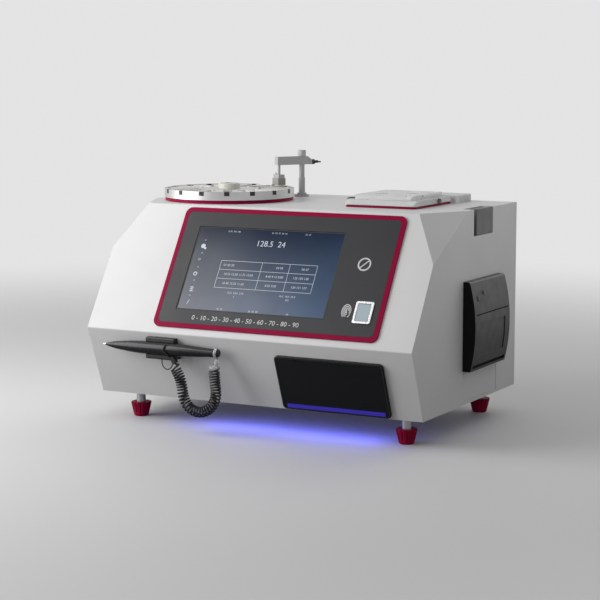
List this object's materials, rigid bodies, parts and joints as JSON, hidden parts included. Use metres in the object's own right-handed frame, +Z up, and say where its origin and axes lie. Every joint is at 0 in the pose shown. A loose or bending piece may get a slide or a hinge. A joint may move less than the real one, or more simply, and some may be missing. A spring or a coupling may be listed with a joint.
{
  "type": "tablet hardness tester",
  "caption": "Bench tester for tablets with a sloped touch panel, turntable magazine, probe arm, covered jaws, side printer, drawer and a pen on a curly cord.",
  "frame": {"origin": "centre of the box round the object without its cord, on the surface that the feet stand on", "axes": "+Z up, -Y towards the operator, +X towards the printer's side"},
  "size_m": [0.4046, 0.3012, 0.2917],
  "materials": {
    "case_paint": "fine powder coat",
    "crimson": "satin crimson",
    "crimson_ring": "satin crimson paint",
    "overlay_grey": "fine matte film",
    "screen": "glossy",
    "module_black": "matte",
    "silver_frame": "satin",
    "sensor_blue": "glossy",
    "steel": "turned",
    "cream": "satin",
    "bearing_metal": "turned",
    "motor_black": "satin",
    "black_plastic": "matte",
    "latch_grey": "fine grain",
    "block_grey": "satin",
    "white_plastic": "satin",
    "cooler_grey": "cast",
    "clear_plastic": "clear",
    "printer_grey": "fine grain",
    "paper": "matte",
    "rubber": "matte",
    "smoke": "glossy",
    "zinc": "zinc plated",
    "led": "lit",
    "pen_black": "satin",
    "pen_silver": "polished",
    "board": "varnished",
    "supply": "satin"
  },
  "bodies": {
    "base": {"housing_shell": "case_paint", "base_plate": "case_paint", "rear_panel": "case_paint", "service_hatch": "case_paint", "latch_pocket": "black_plastic", "foot_pads": "crimson", "foot_studs": "zinc", "panel_bezel": "crimson", "panel_overlay": "overlay_grey", "display_glass": "screen", "display_module": "module_black", "fingerprint_frame": "silver_frame", "fingerprint_sensor": "sensor_blue", "turntable_base": "crimson_ring", "turntable_bearing": "bearing_metal", "turntable_motor": "motor_black", "column_flange": "steel", "station_plate": "crimson_ring", "station_deck": "black_plastic", "fixed_jaw": "steel", "load_cell": "bearing_metal", "jaw_motor": "white_plastic", "motor_cooler": "cooler_grey", "printer_frame": "printer_grey", "drawer_rails": "zinc", "led_strip": "led", "pen_holder": "black_plastic", "curly_cord": "rubber", "main_board": "board", "power_supply": "supply", "power_inlet": "black_plastic", "port_block": "zinc", "case_screws": "zinc"},
    "turntable": {"turntable_disc": "steel", "station_blocks": "cream", "turntable_hub": "cream", "turntable_shaft": "steel"},
    "arm": {"arm_column": "steel", "swing_arm": "steel", "arm_cap": "steel"},
    "clamp": {"clamp_knob": "black_plastic"},
    "probe": {"probe_rod": "steel", "probe_head": "steel", "probe_block": "block_grey"},
    "cover": {"station_cover": "clear_plastic", "cover_knob": "latch_grey"},
    "jaw": {"moving_jaw": "steel"},
    "screw": {"lead_screw": "steel"},
    "door": {"printer_door": "printer_grey"},
    "platen": {"platen_roller": "rubber"},
    "roll": {"paper_roll": "paper"},
    "feed": {"feed_button": "latch_grey"},
    "power": {"power_button": "latch_grey"},
    "drawer": {"drawer_tray": "black_plastic", "drawer_front": "smoke"},
    "latch": {"side_latch": "latch_grey"},
    "rocker": {"rocker_switch": "black_plastic"},
    "pen": {"pen_barrel": "pen_black", "pen_tip": "pen_silver", "cord_swivel": "clear_plastic"}
  },
  "joints": [
    {"name": "turntable_turn", "type": "hinge", "parent": "base", "child": "turntable", "pos_m": [-0.11711, 0.02644, 0.2511], "axis": [0, 0, 1], "continuous": true},
    {"name": "arm_swing", "type": "hinge", "parent": "base", "child": "arm", "pos_m": [-0.06731, 0.10934, 0.2376], "axis": [0, 0, 1], "range_deg": [-100, 100]},
    {"name": "clamp_turn", "type": "hinge", "parent": "arm", "child": "clamp", "pos_m": [-0.06731, 0.10934, 0.27765], "axis": [-0.5158, -0.8567, 0], "range_deg": [-90, 90]},
    {"name": "probe_lift", "type": "slide", "parent": "arm", "child": "probe", "axis": [0, 0, 1], "range_m": [0, 0.01]},
    {"name": "cover_open", "type": "hinge", "parent": "base", "child": "cover", "pos_m": [0.04569, 0.04134, 0.244], "axis": [0, -1, 0], "range_deg": [0, 100]},
    {"name": "jaw_slide", "type": "slide", "parent": "base", "child": "jaw", "axis": [0, -1, 0], "range_m": [0, 0.018]},
    {"name": "screw_turn", "type": "hinge", "parent": "base", "child": "screw", "pos_m": [0.10469, 0.09134, 0.2447], "axis": [0, 1, 0], "range_deg": [0, 1625]},
    {"name": "door_open", "type": "hinge", "parent": "base", "child": "door", "pos_m": [0.19419, 0.04134, 0.0735], "axis": [0, 1, 0], "range_deg": [0, 70]},
    {"name": "platen_turn", "type": "hinge", "parent": "door", "child": "platen", "pos_m": [0.19229, 0.04134, 0.121], "axis": [0, 1, 0], "continuous": true},
    {"name": "roll_turn", "type": "hinge", "parent": "base", "child": "roll", "pos_m": [0.16419, 0.04134, 0.095], "axis": [0, 1, 0], "continuous": true},
    {"name": "feed_press", "type": "slide", "parent": "base", "child": "feed", "axis": [-1, 0, 0], "range_m": [0, 0.0008], "stiffness_N_per_m": 500},
    {"name": "power_press", "type": "slide", "parent": "base", "child": "power", "axis": [-1, 0, 0], "range_m": [0, 0.0008], "stiffness_N_per_m": 500},
    {"name": "drawer_slide", "type": "slide", "parent": "base", "child": "drawer", "axis": [0, -1, 0], "range_m": [0, 0.085]},
    {"name": "latch_slide", "type": "slide", "parent": "base", "child": "latch", "axis": [0, -1, 0], "range_m": [0, 0.0075]},
    {"name": "rocker_tip", "type": "hinge", "parent": "base", "child": "rocker", "pos_m": [-0.13731, 0.14614, 0.133], "axis": [1, 0, 0], "range_deg": [-12, 0]},
    {"name": "pen_release", "type": "slide", "parent": "base", "child": "pen", "axis": [0, -1, 0], "range_m": [0, 0.04]}
  ],
  "couplings": [
    {"joint": "screw_turn", "follows": "jaw_slide", "rad_per_m": 1570.8}
  ]
}
